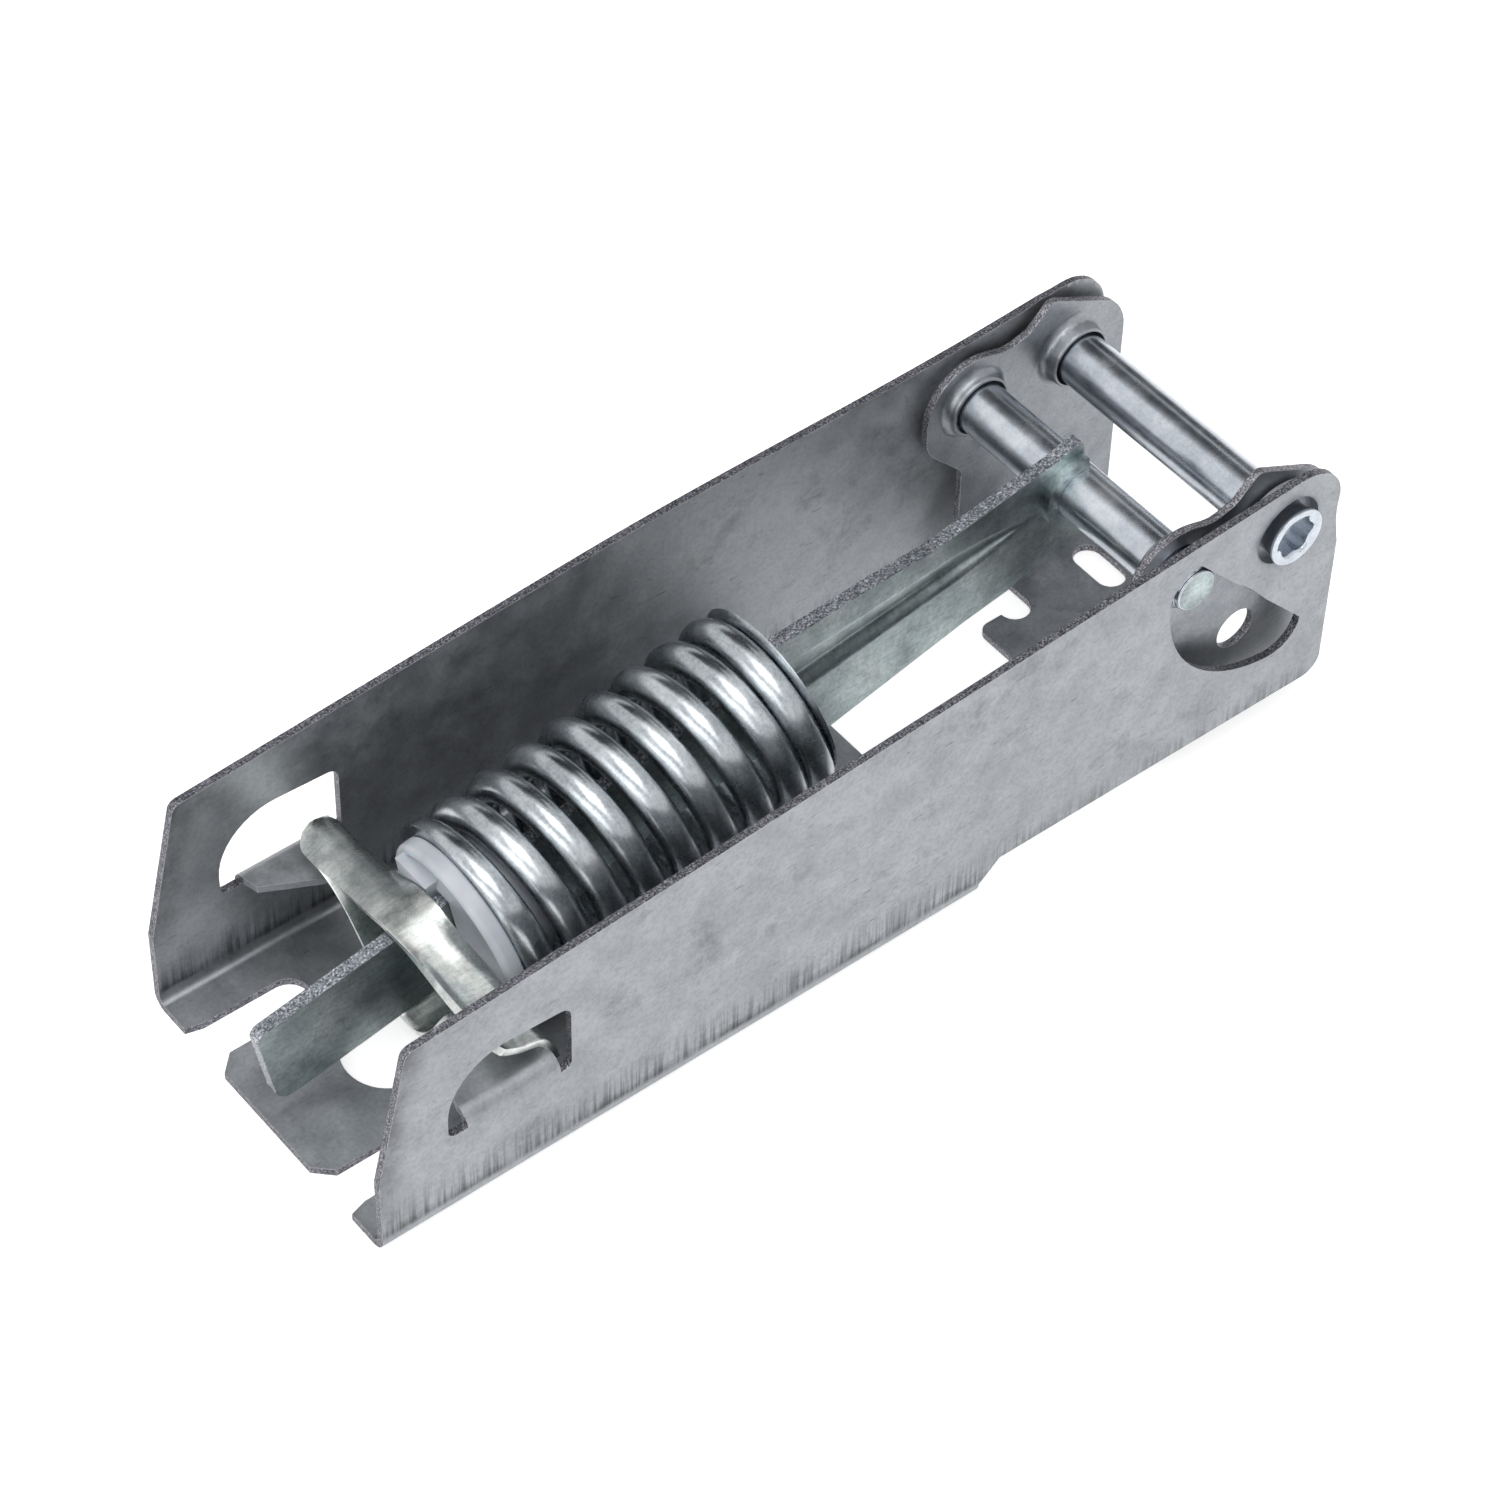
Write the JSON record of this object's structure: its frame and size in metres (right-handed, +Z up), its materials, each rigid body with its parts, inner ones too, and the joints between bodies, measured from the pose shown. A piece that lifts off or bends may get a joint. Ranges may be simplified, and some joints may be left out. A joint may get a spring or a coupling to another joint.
{
  "type": "appliance hinge",
  "caption": "Spring counterbalance hinge for a chest freezer lid: a steel housing, a pivoting lid bracket and a spring-loaded strut that bears on a rocking saddle.",
  "frame": {"origin": "centre of the round fixing hole, on the underside of the housing's base", "axes": "+X from the closed end towards the pivot, +Y across the walls, +Z up from the base"},
  "size_m": [0.1631, 0.053, 0.0472],
  "materials": {
    "galvanised_housing": "matte galvanised sheet with drawing scratches",
    "galvanised_bracket": "matte galvanised sheet, darker",
    "zinc_pin": "bright zinc plated, turned",
    "zinc_strut": "blue-green zinc plated stamping",
    "zinc_spring": "bright zinc plated spring wire",
    "nylon_seat": "satin natural nylon",
    "zinc_saddle": "bright zinc plated pressed strip"
  },
  "bodies": {
    "housing": {"housing": "galvanised_housing", "pivot_pin": "zinc_pin"},
    "lid": {"lid_bracket": "galvanised_bracket", "strut_pin": "zinc_pin"},
    "strut": {"strut": "zinc_strut"},
    "spring": {"spring": "zinc_spring"},
    "rocker": {"saddle": "zinc_saddle", "spring_seat": "nylon_seat"}
  },
  "joints": [
    {"name": "lid_open", "type": "hinge", "parent": "housing", "child": "lid", "pos_m": [0.1325, 0, 0.0367], "axis": [0, -1, 0], "range_deg": [0, 85]},
    {"name": "strut_swing", "type": "hinge", "parent": "lid", "child": "strut", "pos_m": [0.115, 0, 0.0367], "axis": [0, -1, 0], "range_deg": [-94.5, 0]},
    {"name": "saddle_rock", "type": "hinge", "parent": "housing", "child": "rocker", "pos_m": [0.0091, 0, 0.0176], "axis": [0, -1, 0], "range_deg": [-9.5, 0]},
    {"name": "spring_stretch", "type": "slide", "parent": "strut", "child": "spring", "axis": [-0.9841, 0, -0.1775], "range_m": [0, 0.0143], "deforming": ["spring"]}
  ],
  "couplings": [
    {"joint": "strut_swing", "follows": "lid_open", "ratio": -1.1111},
    {"joint": "saddle_rock", "follows": "lid_open", "ratio": -0.11106},
    {"joint": "spring_stretch", "follows": "lid_open", "m_per_rad": 0.009624}
  ]
}
